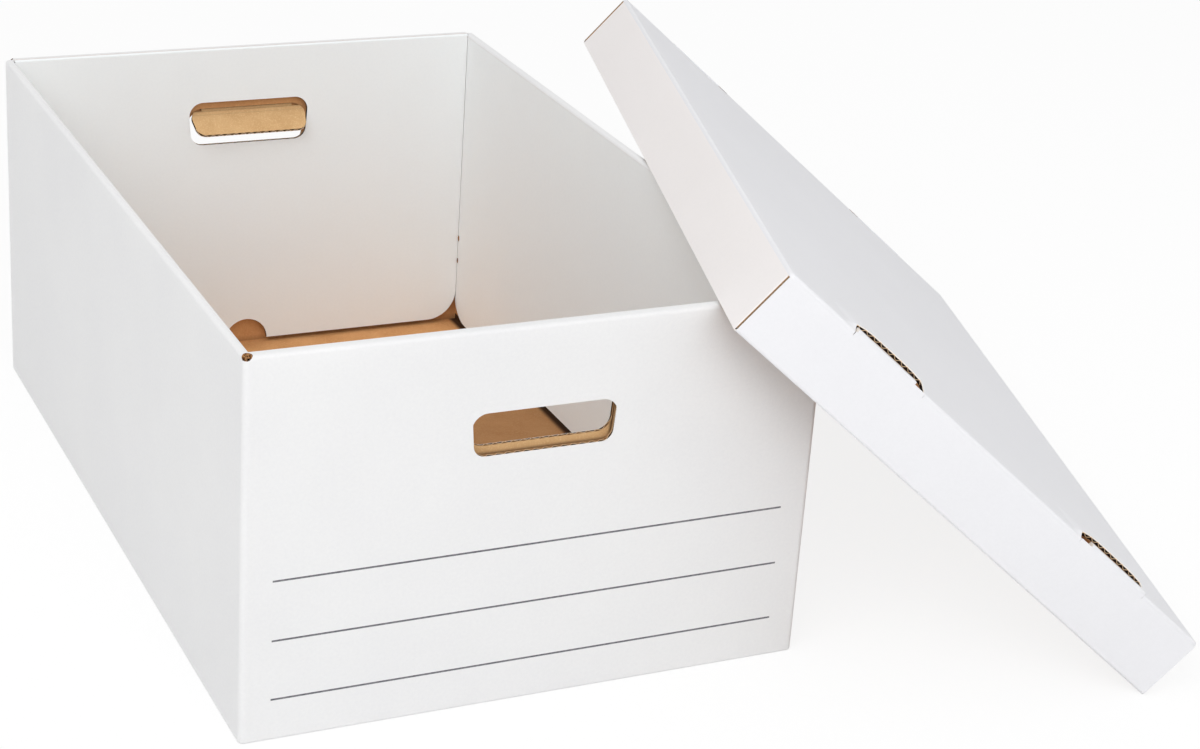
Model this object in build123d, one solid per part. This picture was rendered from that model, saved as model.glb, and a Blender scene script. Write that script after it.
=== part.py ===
from build123d import *
import math
import os

os.makedirs("parts", exist_ok=True)

# A corrugated-board file storage box with its lid leaning on its right side.
# Millimetres, +Z up. The origin is the centre of the box's base, on the floor.
# The front end, with the lid's front end beside it, faces -Y. Left is -X.

# Board and creases
board = 3.0  # thickness of one sheet
crease_radius = 1.0  # inside radius of a vertical fold
rim_radius = 2.6  # outside radius of a rolled-over top edge
base_radius = 2.0  # outside radius of a fold along the floor
swing_gap = 0.3  # clearance round a panel that swings on its crease
cut_gap = 0.35  # width of a die-cut line

# Box
box_width = 388.0
box_depth = 612.0
box_height = 260.0
inner_lift = 4.0  # gap between the floor sheet and the inner panels
inner_corner_radius = 25.0  # round bottom corners of the inner panels
end_play = 0.3  # gap at each side of an inner end panel
thumb_radius = 18.0  # half-round notch in the bottom of an inner end panel
corner_flap_length = 120.0
corner_flap_drop = 7.0  # gap between a corner flap and the rim above it
corner_flap_bevel = 12.0
relief_radius = 3.3  # round stop hole where the creases meet at a top corner
relief_inset = 2.8
relief_drop = 0.7

# Handle holes
handle_width = 98.4  # at the crease, where the rounded corners would meet it
handle_taper = 2.6  # drawn in at each side by the bottom
handle_bottom = 176.1
handle_crease = 209.2  # the crease at the top, on which the flap folds
handle_top_radius = 11.0
handle_bottom_radius = 8.0
inner_handle_width = 100.6
inner_handle_bottom = 180.4
inner_handle_top = 216.0
inner_handle_bottom_radius = 10.0
shoulder_drop = 2.0  # the flap's shoulders start this far below its fold
flap_length = 24.5  # from its fold, so the hole stays open below it
flap_taper = 3.8  # drawn in at each side by its free end
flap_end_radius = 8.0
front_flap_angle = 90.0  # both are pushed in through the inner panels
back_flap_angle = 50.0

# Lid
lid_width = 400.0
lid_length = 626.0
lid_height = 50.0
lid_radius = 2.0  # outside radius of the lid's folds
lid_corner_radius = 2.5
lid_end_gap = 0.4  # the end skirts stop this short of the long skirts' faces
lid_flap_length = 48.0
lid_flap_gap = 0.5
lid_flap_bevel = 8.0
slot_length = 65.0
slot_centre = 110.0  # from the lid's middle
slot_width = 6.5
slot_end_radius = 6.0
lip_lift = 4.2  # the top sheet is pushed up this far by the lock tabs
lip_run = 50.0  # and lies flat again this far behind the slot
tab_short = 10.0  # the tab is shorter than its slot by this
tab_rise = 1.9  # the tab's nose stands this far above the top sheet

# How the lid leans
lid_yaw = 15.8  # turned about the vertical, away from the box's side
lid_overhang = 45.5  # its front end lies this far in front of the box
seat_gap = 0.3  # clearance between the near skirt's edge and the rims
corner_depth = 1.45  # from the lid's outer face down to the box's top corner

# Worked out from the above
side_wall = 2 * board
end_wall = 3 * board
half_width = box_width / 2
half_depth = box_depth / 2
wall_top = box_height - board
inner_bottom = board + inner_lift
roll_radius = board / 2
fold_height = handle_crease - swing_gap - roll_radius
fold_depth = half_depth - board / 2
lid_half_width = lid_width / 2
lid_half_length = lid_length / 2


def block(x_span, y_span, z_span):
    """A box between three pairs of limits."""
    size = [span[1] - span[0] for span in (x_span, y_span, z_span)]
    middle = [(span[0] + span[1]) / 2 for span in (x_span, y_span, z_span)]
    return Pos(*middle) * Box(*size)


def span(side, inner, outer):
    """The pair of limits between two distances, on the side of the middle given by its sign."""
    return sorted((side * inner, side * outer))


def across_y(sketch, y_span):
    """A sketch in x and z, as thick as a pair of y limits."""
    plane = Plane.XZ.offset(-y_span[0])
    return extrude(plane * sketch, amount=y_span[0] - y_span[1])


def across_x(sketch, x_span):
    """A sketch in y and z, as thick as a pair of x limits."""
    plane = Plane.YZ.offset(x_span[0])
    return extrude(plane * sketch, amount=x_span[1] - x_span[0])


def corners_rounded(points, radii):
    """A polygon with a radius of its own at each corner."""
    face = make_face(Polyline(*points, close=True))
    for point, radius in zip(points, radii):
        if radius > 0:
            near = face.vertices().sort_by_distance(Vector(*point, 0))[0]
            face = fillet(near, radius)
    return face


def handle_outline(width, bottom, top, bottom_radius):
    """The handle hole: wider at the top, with round corners."""
    half_top = width / 2
    half_bottom = half_top - handle_taper
    points = [(-half_bottom, bottom), (half_bottom, bottom), (half_top, top), (-half_top, top)]
    return corners_rounded(points, [bottom_radius] * 2 + [handle_top_radius] * 2)


def mitre(side, along_x, run_x, run_y):
    """The plan area of one wall, cut off at both ends through the box's corners."""
    outer_x = half_width + run_x
    outer_y = half_depth + run_y
    inner_x = half_width - 2 * run_x
    inner_y = half_depth - 2 * run_y
    if along_x:
        points = [(-outer_x, outer_y), (outer_x, outer_y), (inner_x, inner_y), (-inner_x, inner_y)]
        points = [(x, side * y) for x, y in points]
    else:
        points = [(outer_x, -outer_y), (outer_x, outer_y), (inner_x, inner_y), (inner_x, -inner_y)]
        points = [(side * x, y) for x, y in points]
    return extrude(make_face(Polyline(*points, close=True)), box_height)


def relief_holes():
    """The round stop holes at the four top corners."""
    ball = Sphere(relief_radius)
    x = half_width - relief_inset
    y = half_depth - relief_inset
    z = box_height - relief_drop
    return [Pos(a * x, b * y, z) * ball for a in (-1, 1) for b in (-1, 1)]


def outer_walls():
    """The four outer panels: one rounded tube, cut apart through its corner folds."""
    outline = RectangleRounded(box_width, box_depth, board + crease_radius)
    inside = RectangleRounded(box_width - 2 * board, box_depth - 2 * board, crease_radius)
    tube = extrude(outline - inside, wall_top)
    low_edges = tube.faces().sort_by(Axis.Z)[0].outer_wire().edges()
    tube = fillet(low_edges, base_radius) - relief_holes()
    walls = {
        "front_end_outer": tube & mitre(-1, True, board, board),
        "back_end_outer": tube & mitre(1, True, board, board),
        "left_side_outer": tube & mitre(-1, False, board, board),
        "right_side_outer": tube & mitre(1, False, board, board),
    }
    hole = handle_outline(handle_width, handle_bottom, handle_crease, handle_bottom_radius)
    for name, side in (("front_end_outer", -1), ("back_end_outer", 1)):
        walls[name] -= across_y(hole, span(side, half_depth - 2 * board, half_depth + board))
    return walls


def floor_panel():
    """The floor sheet, inside the outer panels."""
    outline = RectangleRounded(box_width - 2 * board, box_depth - 2 * board, crease_radius)
    return extrude(outline, board)


def rim_profile(width, inner_radius):
    """The section of a rolled-over top edge, its outside at zero."""
    points = [(0, wall_top), (0, box_height), (-width, box_height), (-width, wall_top)]
    return corners_rounded(points, [0, rim_radius, inner_radius, 0])


def rims():
    """The four top strips, mitred at the corners and cut by the stop holes."""
    fold = extrude(RectangleRounded(box_width, box_depth, board + crease_radius), box_height)
    hinged_width = end_wall - board - swing_gap
    end_strip = rim_profile(end_wall, rim_radius)
    hinged_strip = rim_profile(hinged_width, 0)
    side_strip = rim_profile(side_wall, rim_radius)
    long_x = (-half_width, half_width)
    long_y = (-half_depth, half_depth)
    front = mirror(across_x(Pos(half_depth, 0) * end_strip, long_x), about=Plane.XZ)
    back = across_x(Pos(half_depth, 0) * hinged_strip, long_x)
    right = across_y(Pos(half_width, 0) * side_strip, long_y)
    left = mirror(right, about=Plane.YZ)
    strips = {
        "front_end_rim": front & mitre(-1, True, side_wall, end_wall),
        "back_end_rim": back & mitre(1, True, side_wall, end_wall),
        "left_side_rim": left & mitre(-1, False, side_wall, end_wall),
        "right_side_rim": right & mitre(1, False, side_wall, end_wall),
    }
    return {name: (strip & fold) - relief_holes() for name, strip in strips.items()}


def end_inner(side, hinged):
    """An inner end panel. The hinged one ends in a roll in line with the rim."""
    half = half_width - side_wall - end_play
    top = box_height - roll_radius if hinged else wall_top
    points = [(-half, inner_bottom), (half, inner_bottom), (half, top), (-half, top)]
    sheet = corners_rounded(points, [inner_corner_radius] * 2 + [0, 0])
    sheet -= Pos(0, inner_bottom) * Circle(thumb_radius)
    sheet -= handle_outline(
        inner_handle_width, inner_handle_bottom, inner_handle_top, inner_handle_bottom_radius
    )
    panel = across_y(sheet, span(side, half_depth - end_wall, half_depth - end_wall + board))
    if hinged:
        y = side * (half_depth - end_wall + roll_radius)
        panel += Pos(0, y, top) * Rot(0, 90, 0) * Cylinder(roll_radius, 2 * half)
    return panel


def side_inner(side):
    """An inner side panel, which reaches to the corner flaps folded from it."""
    half = half_depth - side_wall
    points = [(-half, inner_bottom), (half, inner_bottom), (half, wall_top), (-half, wall_top)]
    sheet = corners_rounded(points, [inner_corner_radius] * 2 + [0, 0])
    return across_x(sheet, span(side, half_width - side_wall, half_width - board))


def corner_flap(side_x, side_y):
    """A flap between the layers of an end wall, above the side panel's round corner."""
    outer = half_width - board
    inner = outer - corner_flap_length
    top = wall_top - corner_flap_drop
    low = inner_bottom + inner_corner_radius
    bevel = corner_flap_bevel
    points = [
        (outer, low),
        (inner + bevel, low),
        (inner, low + bevel),
        (inner, top - bevel),
        (inner + bevel, top),
        (outer, top),
    ]
    sheet = make_face(Polyline(*[(side_x * x, z) for x, z in points], close=True))
    flap = across_y(sheet, span(side_y, half_depth - side_wall, half_depth - board))
    corner = Vector(side_x * outer, side_y * (half_depth - board), box_height / 2)
    edge = flap.edges().filter_by(Axis.Z).sort_by_distance(corner)[0]
    return fillet(edge, crease_radius)


def handle_flap(side, angle):
    """The flap of a handle hole, swung inwards on the fold at the hole's top."""
    top_half = handle_width / 2 - cut_gap
    end_half = top_half - flap_taper
    low, high = fold_height - flap_length, handle_crease - cut_gap
    points = [(-end_half, low), (end_half, low), (top_half, high), (-top_half, high)]
    radii = [flap_end_radius] * 2 + [handle_top_radius - cut_gap] * 2
    sheet = corners_rounded(points, radii)
    shoulder = fold_height - shoulder_drop
    flat_half = handle_width / 2 - handle_top_radius - swing_gap
    above = Pos(0, shoulder + box_height / 2) * Rectangle(box_width, box_height)
    neck = Pos(0, shoulder) * Rectangle(2 * flat_half, 2 * shoulder_drop)
    sheet = sheet - above + neck
    flap = across_y(sheet, span(side, half_depth - board, half_depth))
    roll = Rot(0, 90, 0) * Cylinder(roll_radius, 2 * flat_half)
    flap += Pos(0, side * fold_depth, fold_height) * roll
    return flap.rotate(Axis((0, side * fold_depth, fold_height), (-side, 0, 0)), angle)


def lid_block(x_span, y_span, z_span):
    """A box in the lid's own frame, where y counts from the edge of an end crease."""
    shifted = [y - lid_half_length for y in y_span]
    return block(x_span, shifted, z_span)


def both_ends(front):
    """A shape at the lid's front end, with its copy at the back end."""
    return [front, front.rotate(Axis.Z, 180)]


def lifted_lip(centre):
    """The top sheet round one slot, pushed up behind it and flat again all round."""
    shares = [
        (-0.62, 0),
        (-0.5, 0.6),
        (-0.38, 0.9),
        (-0.1, 1),
        (0.2, 1),
        (0.36, 0.88),
        (0.45, 0.66),
        (0.53, 0),
    ]
    upper = [(centre + a * slot_length, b * lip_lift) for a, b in shares]
    lower = [(x, z - board) for x, z in upper]
    left, right = upper[0][0], upper[-1][0]
    raised = make_face([
        Spline(*upper),
        Line((right, 0), (right, -board)),
        Spline(*lower),
        Line((left, -board), (left, 0)),
    ])
    flat = Pos((left + right) / 2, -board / 2) * Rectangle(right - left, board)
    rises = [lid_radius, slot_width, slot_width + lip_run]
    planes = [Plane.XZ.offset(lid_half_length - y) for y in rises]
    lip = loft([planes[0] * flat, planes[1] * raised]) + loft([planes[1] * raised, planes[2] * flat])
    window = lid_block((left, right), (rises[0], rises[2]), (-2 * board, board))
    return window, lip


def slot_cut(centre, shrink=0.0):
    """One lock slot at the front crease, its far right corner round, narrowed by shrink."""
    low, high = -lid_half_length - board, slot_width - lid_half_length - shrink
    left, right = centre - slot_length / 2 + shrink, centre + slot_length / 2 - shrink
    points = [(left, low), (right, low), (right, high), (left, high)]
    outline = corners_rounded(points, [0, 0, slot_end_radius, 0])
    reach = board + lip_lift
    return extrude(Pos(0, 0, -reach) * outline, 2 * reach)


def lid_top():
    """The top sheet, with a lifted lip behind each of its four slots."""
    plate = lid_block((-lid_half_width, lid_half_width), (0, lid_length), (-board, 0))
    plate = fillet(plate.edges().filter_by(Axis.Z), lid_corner_radius)
    plate = fillet(plate.faces().sort_by(Axis.Z)[-1].edges(), lid_radius)
    for centre in (-slot_centre, slot_centre):
        window, lip = lifted_lip(centre)
        slot = slot_cut(centre)
        for gap, cover, cut in zip(both_ends(window), both_ends(lip), both_ends(slot)):
            plate = plate - gap + cover - cut
    return plate


def long_skirt(side):
    """A single long skirt of the lid, its ends turned into the corner flaps."""
    y_span = (board, lid_length - board)
    skirt = lid_block(span(side, lid_half_width - board, lid_half_width), y_span, (-lid_height, -board))
    outer_face = skirt.faces().sort_by(Axis.X)[-1 if side > 0 else 0]
    return fillet(outer_face.edges().filter_by(Axis.Z), lid_radius)


def end_skirt_outer():
    """The outer layer of the front end skirt."""
    half = lid_half_width - lid_end_gap
    return lid_block((-half, half), (0, board), (board - lid_height, -board))


def end_skirt_fold():
    """The rolled bottom edge of the front end skirt."""
    half = lid_half_width - lid_end_gap
    strip = lid_block((-half, half), (0, 2 * board), (-lid_height, board - lid_height))
    strip = fillet(strip.faces().sort_by(Axis.Z)[0].edges().filter_by(Axis.X), lid_radius)
    clear = lid_half_width - board - lid_end_gap
    for side in (-1, 1):
        strip -= lid_block(span(side, clear, lid_half_width), (board, 2 * board), (-lid_height, 0))
    return strip


def end_skirt_inner():
    """The inner layer of the front end skirt, with its two lock tabs."""
    half = lid_half_width - board - lid_flap_length - lid_flap_gap
    panel = lid_block((-half, half), (board, 2 * board), (board - lid_height, -board))
    lean = cut_gap / 2
    profile = [
        (lean, -board),
        (lean, -lean),
        (board / 4, tab_rise),
        (2 * board - board / 4, tab_rise),
        (2 * board, -lean),
        (2 * board, -board),
    ]
    tongue = make_face(Polyline(*[(y - lid_half_length, z) for y, z in profile], close=True))
    for side in (-1, 1):
        near = slot_centre - slot_length / 2 + tab_short
        far = slot_centre + slot_length / 2
        tab = across_x(tongue, span(side, near, far))
        panel += tab & slot_cut(side * slot_centre, cut_gap)
    return panel


def lid_corner_flap(side):
    """A flap folded from a long skirt into the front end skirt."""
    outer = lid_half_width - board
    inner = outer - lid_flap_length
    low, high = board + cut_gap - lid_height, -board
    bevel = lid_flap_bevel
    points = [
        (outer, low),
        (inner + bevel, low),
        (inner, low + bevel),
        (inner, high),
        (outer, high),
    ]
    sheet = make_face(Polyline(*[(side * x, z) for x, z in points], close=True))
    y_span = (board - lid_half_length, 2 * board - lid_half_length)
    return across_y(sheet, y_span)


def lid_place():
    """Where the lid leans: near skirt on the rims, far skirt on the floor, top on the corner."""
    slope = (box_height + seat_gap) / (lid_width - board)
    level = math.sqrt(1 - slope**2)
    yaw = math.radians(lid_yaw)
    along = Vector(math.sin(yaw), math.cos(yaw), 0)
    across = Vector(math.cos(yaw) * level, -math.sin(yaw) * level, -slope)
    outward = across.cross(along)
    near_y = -half_depth - lid_overhang
    near_z = lid_width * slope
    reach = lid_height - corner_depth
    reach += outward.Y * (near_y + half_depth) + outward.Z * (near_z - box_height)
    near_x = half_width - reach / outward.X
    near = Vector(near_x, near_y, near_z)
    middle = near + outward * lid_height + across * lid_half_width + along * lid_half_length
    return Plane(origin=middle, x_dir=across, z_dir=outward).location


def lid_pieces():
    """The lid's panels in its own frame: the top's middle at the origin, its front at -Y."""
    pieces = {
        "lid_top": lid_top(),
        "lid_near_skirt": long_skirt(-1),
        "lid_far_skirt": long_skirt(1),
    }
    doubled = {
        "skirt_outer": end_skirt_outer(),
        "skirt_fold": end_skirt_fold(),
        "skirt_inner": end_skirt_inner(),
    }
    for name, front in doubled.items():
        pieces["lid_front_" + name], pieces["lid_back_" + name] = both_ends(front)
    near_front, far_back = both_ends(lid_corner_flap(-1))
    far_front, near_back = both_ends(lid_corner_flap(1))
    pieces["lid_near_front_corner_flap"] = near_front
    pieces["lid_near_back_corner_flap"] = near_back
    pieces["lid_far_front_corner_flap"] = far_front
    pieces["lid_far_back_corner_flap"] = far_back
    return pieces


def box_pieces():
    """The box's panels."""
    pieces = {"floor_panel": floor_panel()}
    pieces.update(outer_walls())
    pieces.update(rims())
    pieces["front_end_inner"] = end_inner(-1, False)
    pieces["back_end_inner"] = end_inner(1, True)
    pieces["left_side_inner"] = side_inner(-1)
    pieces["right_side_inner"] = side_inner(1)
    for end, side_y in (("front", -1), ("back", 1)):
        for hand, side_x in (("left", -1), ("right", 1)):
            pieces[f"{end}_{hand}_corner_flap"] = corner_flap(side_x, side_y)
    pieces["front_handle_flap"] = handle_flap(-1, front_flap_angle)
    pieces["back_handle_flap"] = handle_flap(1, back_flap_angle)
    return pieces


place = lid_place()
nodes = box_pieces()
nodes.update({name: place * piece for name, piece in lid_pieces().items()})

for name, piece in nodes.items():
    solids = piece.solids()
    print(name, len(solids), "solid", round(sum(solid.volume for solid in solids), 1))
    export_step(piece if len(solids) > 1 else solids[0], f"parts/{name}.step")
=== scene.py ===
import itertools
import math

import bmesh
import bpy
from mathutils import Matrix, Vector


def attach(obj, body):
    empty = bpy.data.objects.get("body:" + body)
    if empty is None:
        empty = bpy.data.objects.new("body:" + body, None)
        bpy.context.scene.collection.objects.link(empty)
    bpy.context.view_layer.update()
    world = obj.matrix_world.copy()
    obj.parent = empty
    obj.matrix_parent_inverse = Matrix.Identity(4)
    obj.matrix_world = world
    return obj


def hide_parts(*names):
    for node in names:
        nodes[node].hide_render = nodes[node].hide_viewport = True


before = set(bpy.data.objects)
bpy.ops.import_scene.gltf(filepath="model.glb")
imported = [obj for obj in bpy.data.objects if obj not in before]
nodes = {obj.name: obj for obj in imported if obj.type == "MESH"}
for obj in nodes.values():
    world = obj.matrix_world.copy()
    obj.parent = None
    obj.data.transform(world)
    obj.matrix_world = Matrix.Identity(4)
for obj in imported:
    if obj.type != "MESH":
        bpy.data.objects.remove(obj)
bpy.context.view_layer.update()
scene = bpy.context.scene
print("frame loaded with", len(nodes), "nodes")

board = {
    "thick": 0.003,  # B flute
    "pitch": 0.0063,  # one flute to the next
    "foldDip": 0.0011,  # how far the board sinks towards a fold
    "foldRun": 0.0045,  # and over what length
}
box = {"depth": 0.612, "height": 0.260, "endWall": 0.009}
lid = {"width": 0.400, "length": 0.626, "height": 0.050, "yaw": 15.8, "seatGap": 0.0003}

slope = (box["height"] + lid["seatGap"]) / (lid["width"] - board["thick"])
level = math.sqrt(1 - slope**2)
yaw = math.radians(lid["yaw"])
lidAlong = Vector((math.sin(yaw), math.cos(yaw), 0))
lidAcross = Vector((math.cos(yaw) * level, -math.sin(yaw) * level, -slope))
lidOut = lidAcross.cross(lidAlong)
lidTurn = Matrix((lidAcross, lidAlong, lidOut))  # world to lid


def lidMiddle():
    points = [lidTurn @ v.co for v in nodes["lid_far_skirt"].data.vertices]
    middle = [(min(p[i] for p in points) + max(p[i] for p in points)) / 2 for i in range(3)]
    middle[0] = max(p.x for p in points) - lid["width"] / 2
    middle[2] = min(p.z for p in points) + lid["height"]
    return Vector(middle)


lidCentre = lidMiddle()  # middle of the lid's top, along the lid's own axes

# materials


def linear(code):
    values = [int(code[i : i + 2], 16) / 255 for i in (1, 3, 5)]
    return [v / 12.92 if v <= 0.04045 else ((v + 0.055) / 1.055) ** 2.4 for v in values] + [1]


def addNode(tree, kind, settings, sockets):
    node = tree.nodes.new(kind)
    for name, value in settings.items():
        setattr(node, name, value)
    for name, value in sockets.items():
        if isinstance(value, bpy.types.NodeSocket):
            tree.links.new(value, node.inputs[name])
        else:
            node.inputs[name].default_value = value
    return node


def newMaterial(name):
    material = bpy.data.materials.new(name)
    material.use_nodes = True
    tree = material.node_tree
    tree.nodes.clear()
    return material, tree


paperIor = 1.45


def finishPaper(tree, sockets):
    shader = addNode(tree, "ShaderNodeBsdfPrincipled", {}, {"IOR": paperIor, **sockets})
    addNode(tree, "ShaderNodeOutputMaterial", {}, {"Surface": shader.outputs[0]})


def foldHeight(tree, point, folds):
    # the board sinks by an exponential dip towards each fold line
    total = None
    for direction, reach in folds:
        run = board["foldRun"]
        along = addNode(
            tree,
            "ShaderNodeVectorMath",
            {"operation": "DOT_PRODUCT"},
            {0: point, 1: [v / run for v in direction]},
        )
        depth = addNode(
            tree,
            "ShaderNodeMath",
            {"operation": "SUBTRACT"},
            {0: along.outputs["Value"], 1: reach / run},
        )
        dip = addNode(tree, "ShaderNodeMath", {"operation": "EXPONENT"}, {0: depth.outputs[0]})
        deep = addNode(
            tree,
            "ShaderNodeMath",
            {"operation": "MULTIPLY"},
            {0: dip.outputs[0], 1: -board["foldDip"]},
        )
        if total is None:
            total = deep.outputs[0]
        else:
            total = addNode(
                tree, "ShaderNodeMath", {"operation": "ADD"}, {0: total, 1: deep.outputs[0]}
            ).outputs[0]
    return total


def linerHeight(tree, point, across, washboard, noise, grain):
    # the flutes telegraph through the liner as a washboard, under the paper's own grain
    turn = 2 * math.pi / board["pitch"]
    phase = addNode(
        tree,
        "ShaderNodeVectorMath",
        {"operation": "DOT_PRODUCT"},
        {0: point, 1: [v * turn for v in across]},
    )
    wave = addNode(tree, "ShaderNodeMath", {"operation": "SINE"}, {0: phase.outputs["Value"]})
    height = addNode(
        tree, "ShaderNodeMath", {"operation": "MULTIPLY"}, {0: wave.outputs[0], 1: washboard}
    )
    return addNode(
        tree,
        "ShaderNodeMath",
        {"operation": "MULTIPLY_ADD"},
        {0: noise, 1: grain, 2: height.outputs[0]},
    ).outputs[0]


whiteTop = {
    "papers": {  # the lighter and the darker end of its cloud
        "box": ("#EFEFEF", "#EAEAEB"),
        "inside": ("#F9FDFE", "#F5F9FB"),  # painted light: a brighter, cooler copy of the same white, to lift the inside of the box
        "lid": ("#EFEFF2", "#ECECEF"),
        # painted light: a lighter, warmer copy of the lid's white for its side skirts and their
        # corner flaps
        "lidSide": ("#F5F1F0", "#F2EEED"),
    },
    "cloudSize": 0.12,
    "mottleSize": 0.0022,
    "spread": (0.35, 0.65),  # the noise values that take the two colours
    "washboard": 0.000007,
    "grain": 0.000012,
    "roughness": 0.66,
    "glossSpread": 0.05,
    "specular": 0.3,
    "ink": "#46454D",
    "inkLeast": 0.62,  # how well it covers where the paper takes it worst
    "inkSoak": 0.5,
}


def ruledMask(tree, point, ruled, soak):
    # 1 on the ruled lines, a little less where the ink soaks in unevenly
    parts = addNode(tree, "ShaderNodeSeparateXYZ", {}, {0: point})
    mask = None
    for height in ruled["heights"]:
        line = addNode(
            tree,
            "ShaderNodeMath",
            {"operation": "COMPARE"},
            {0: parts.outputs["Z"], 1: height, 2: ruled["thick"] / 2},
        ).outputs[0]
        if mask is None:
            mask = line
        else:
            mask = addNode(
                tree, "ShaderNodeMath", {"operation": "ADD"}, {0: mask, 1: line}
            ).outputs[0]
    ends = addNode(
        tree,
        "ShaderNodeMath",
        {"operation": "COMPARE"},
        {0: parts.outputs["X"], 1: 0.0, 2: ruled["half"]},
    )
    mask = addNode(
        tree, "ShaderNodeMath", {"operation": "MULTIPLY"}, {0: mask, 1: ends.outputs[0]}
    )
    ink = addNode(
        tree,
        "ShaderNodeMath",
        {"operation": "MULTIPLY_ADD"},
        {0: soak, 1: whiteTop["inkSoak"], 2: whiteTop["inkLeast"]},
    )
    return addNode(
        tree,
        "ShaderNodeMath",
        {"operation": "MULTIPLY", "use_clamp": True},
        {0: mask.outputs[0], 1: ink.outputs[0]},
    ).outputs[0]


def makeWhite(name, across, folds, paper="box", ruled=None):
    # clay coated white topliner: matt, even white with a faint cloud and the flutes' washboard
    material, tree = newMaterial(name)
    bright, shade = whiteTop["papers"][paper]
    point = addNode(tree, "ShaderNodeTexCoord", {}, {}).outputs["Object"]
    cloud = addNode(
        tree,
        "ShaderNodeTexNoise",
        {},
        {"Vector": point, "Scale": 1 / whiteTop["cloudSize"], "Detail": 3.0, "Roughness": 0.55},
    ).outputs["Fac"]
    mottle = addNode(
        tree,
        "ShaderNodeTexNoise",
        {},
        {"Vector": point, "Scale": 1 / whiteTop["mottleSize"], "Detail": 4.0, "Roughness": 0.6},
    ).outputs["Fac"]
    blend = addNode(tree, "ShaderNodeMath", {"operation": "MULTIPLY"}, {0: cloud, 1: 0.5})
    blend = addNode(
        tree,
        "ShaderNodeMath",
        {"operation": "MULTIPLY_ADD"},
        {0: mottle, 1: 0.5, 2: blend.outputs[0]},
    )
    low, high = whiteTop["spread"]
    spread = addNode(
        tree,
        "ShaderNodeMapRange",
        {},
        {"Value": blend.outputs[0], "From Min": low, "From Max": high},
    )
    colour = addNode(
        tree,
        "ShaderNodeMix",
        {"data_type": "RGBA"},
        {"Factor": spread.outputs[0], 6: linear(shade), 7: linear(bright)},
    ).outputs[2]
    if ruled:
        mask = ruledMask(tree, point, ruled, mottle)
        colour = addNode(
            tree,
            "ShaderNodeMix",
            {"data_type": "RGBA"},
            {"Factor": mask, 6: colour, 7: linear(whiteTop["ink"])},
        ).outputs[2]
    height = linerHeight(tree, point, across, whiteTop["washboard"], mottle, whiteTop["grain"])
    if folds:
        height = addNode(
            tree,
            "ShaderNodeMath",
            {"operation": "ADD"},
            {0: height, 1: foldHeight(tree, point, folds)},
        ).outputs[0]
    bump = addNode(tree, "ShaderNodeBump", {}, {"Strength": 1.0, "Distance": 1.0, "Height": height})
    gloss = addNode(
        tree,
        "ShaderNodeMapRange",
        {},
        {
            "Value": cloud,
            "To Min": whiteTop["roughness"] - whiteTop["glossSpread"],
            "To Max": whiteTop["roughness"] + whiteTop["glossSpread"],
        },
    )
    finishPaper(
        tree,
        {
            "Base Color": colour,
            "Roughness": gloss.outputs[0],
            "Normal": bump.outputs[0],
            "Specular IOR Level": whiteTop["specular"],
        },
    )
    return material


kraft = {
    "papers": {  # ground, its darker clouds and the fibres
        "wall": ("#D69F6C", "#C9915F", "#E0B07C"),
        # painted light: a brighter copy of the wall kraft, for the handle flaps and the inner front
        # panel behind its hole
        "flap": ("#DEB582", "#D0A472", "#EBCC9A"),
        # painted light: a brighter copy for the floor, which painted shade then darkens toward the
        # front and sides
        "floor": ("#E0A66F", "#D29761", "#EAB77F"),
    },
    "shadow": "#3A2010",
    "speckSize": 0.0012,
    "cloudSize": 0.02,
    "spread": (0.3, 0.7),
    "fibres": (0.48, 0.72),
    "fibreShare": 0.7,
    "washboard": 0.00002,
    "grain": 0.00003,
    "roughness": 0.8,
    "specular": 0.25,
}


def beyond(tree, value, limit, soft):
    # 0 up to a limit, 1 past it
    return addNode(
        tree,
        "ShaderNodeMapRange",
        {"interpolation_type": "SMOOTHSTEP"},
        {"Value": value, "From Min": limit - soft, "From Max": limit + soft},
    ).outputs[0]


def foldShadeMask(tree, point, direction, reach, half, strength):
    # painted shade along a pressed fold line across the direction
    along = addNode(
        tree, "ShaderNodeVectorMath", {"operation": "DOT_PRODUCT"}, {0: point, 1: list(direction)}
    )
    off = addNode(
        tree,
        "ShaderNodeMath",
        {"operation": "SUBTRACT"},
        {0: along.outputs["Value"], 1: reach},
    )
    off = addNode(tree, "ShaderNodeMath", {"operation": "ABSOLUTE"}, {0: off.outputs[0]})
    return addNode(
        tree,
        "ShaderNodeMapRange",
        {"interpolation_type": "SMOOTHSTEP"},
        {"Value": off.outputs[0], "From Max": half, "To Min": strength, "To Max": 0.0},
    ).outputs[0]


def shadeMask(tree, point, shade):
    # the part past a limit, which little light reaches
    along = addNode(
        tree,
        "ShaderNodeVectorMath",
        {"operation": "DOT_PRODUCT"},
        {0: point, 1: list(shade["way"])},
    ).outputs["Value"]
    if shade["bothSides"]:
        along = addNode(
            tree, "ShaderNodeMath", {"operation": "ABSOLUTE"}, {0: along}
        ).outputs[0]
    past = beyond(tree, along, shade["reach"], shade["soft"])
    return addNode(
        tree, "ShaderNodeMath", {"operation": "MULTIPLY"}, {0: past, 1: shade["strength"]}
    ).outputs[0]


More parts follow.
